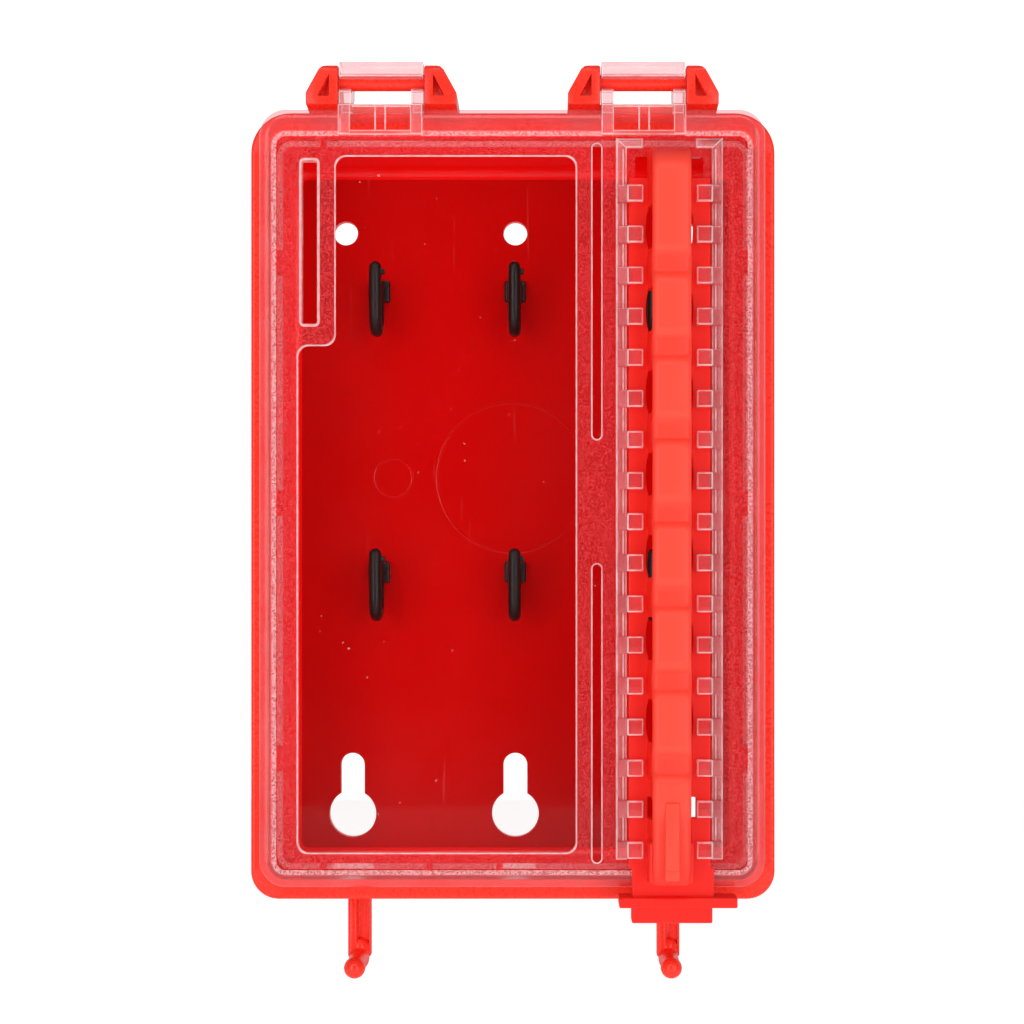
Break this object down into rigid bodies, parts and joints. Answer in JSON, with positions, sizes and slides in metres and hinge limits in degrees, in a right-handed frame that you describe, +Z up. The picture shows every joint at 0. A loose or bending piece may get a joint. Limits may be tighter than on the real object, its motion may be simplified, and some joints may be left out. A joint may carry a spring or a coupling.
{
  "type": "group lockout box",
  "caption": "Wall-mount group lockout box: red box with key hooks, clear hinged lid with a key slot, and a sliding arched rail that takes padlock shackles.",
  "frame": {"origin": "middle of the box's flat back face, which lies on the wall", "axes": "+Z up as hung on the wall, +X to the right, the lid faces -Y"},
  "size_m": [0.1444, 0.0618, 0.2512],
  "materials": {
    "red_plastic": "satin moulded ABS",
    "slider_red": "satin moulded nylon, lighter red",
    "black_plastic": "half-gloss moulded nylon",
    "clear_plastic": "clear polycarbonate, frosted with a glossy window"
  },
  "bodies": {
    "box": {"base_box": "red_plastic", "hinge_rod_left": "red_plastic", "hinge_rod_right": "red_plastic", "key_hook_1": "black_plastic", "key_hook_2": "black_plastic", "key_hook_3": "black_plastic", "key_hook_4": "black_plastic", "key_hook_5": "black_plastic", "key_hook_6": "black_plastic", "hang_hook_left": "red_plastic", "hang_hook_right": "red_plastic"},
    "lid": {"lid": "clear_plastic"},
    "slider": {"lock_slider": "slider_red"}
  },
  "joints": [
    {"name": "lid_hinge", "type": "hinge", "parent": "box", "child": "lid", "pos_m": [0, -0.041, 0.1169], "axis": [-1, 0, 0], "range_deg": [0, 170]},
    {"name": "slider_slide", "type": "slide", "parent": "lid", "child": "slider", "axis": [0, 0, -1], "range_m": [-0.0012, 0.195]}
  ]
}
